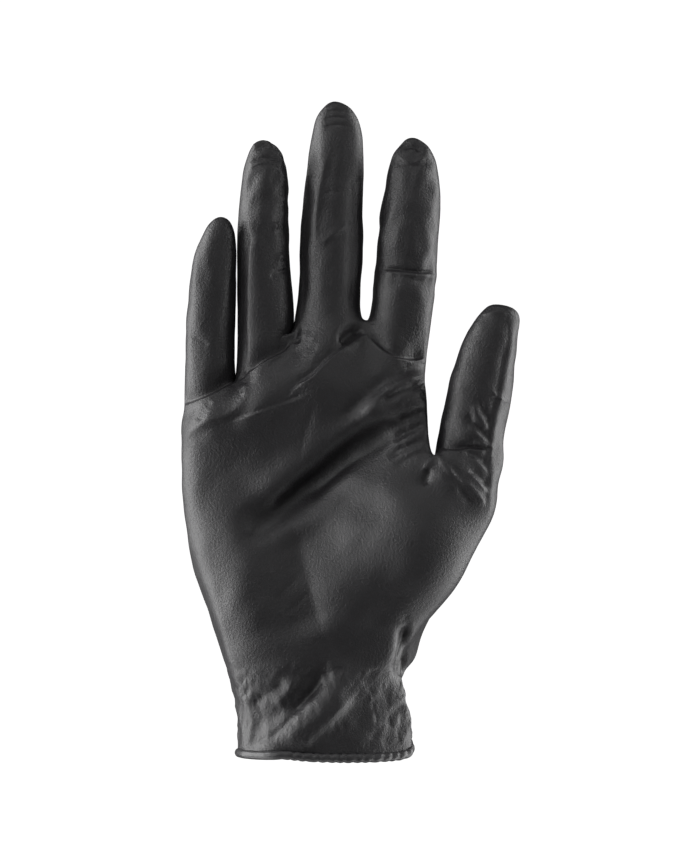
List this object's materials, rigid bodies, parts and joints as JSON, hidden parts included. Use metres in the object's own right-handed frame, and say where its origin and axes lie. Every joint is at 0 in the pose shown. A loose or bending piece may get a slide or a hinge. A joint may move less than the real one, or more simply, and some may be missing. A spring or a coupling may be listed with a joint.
{
  "type": "nitrile exam glove",
  "caption": "Thin dipped exam glove in its worn form, with diagonal folds on the palm, closed finger and thumb stalls and a short cuff that ends in a rolled bead.",
  "frame": {"origin": "middle of the cuff's mouth at the height of the rolled bead, where a wrist holds the glove", "axes": "+Z from the wrist to the fingertips, +X to the thumb's side, +Y to the back of the hand"},
  "size_m": [0.1229, 0.0475, 0.2398],
  "materials": {
    "nitrile_film": "satin, finely stippled",
    "nitrile_bead": "satin"
  },
  "bodies": {
    "root": {"glove_film": "nitrile_film", "rolled_bead": "nitrile_bead"}
  },
  "joints": []
}
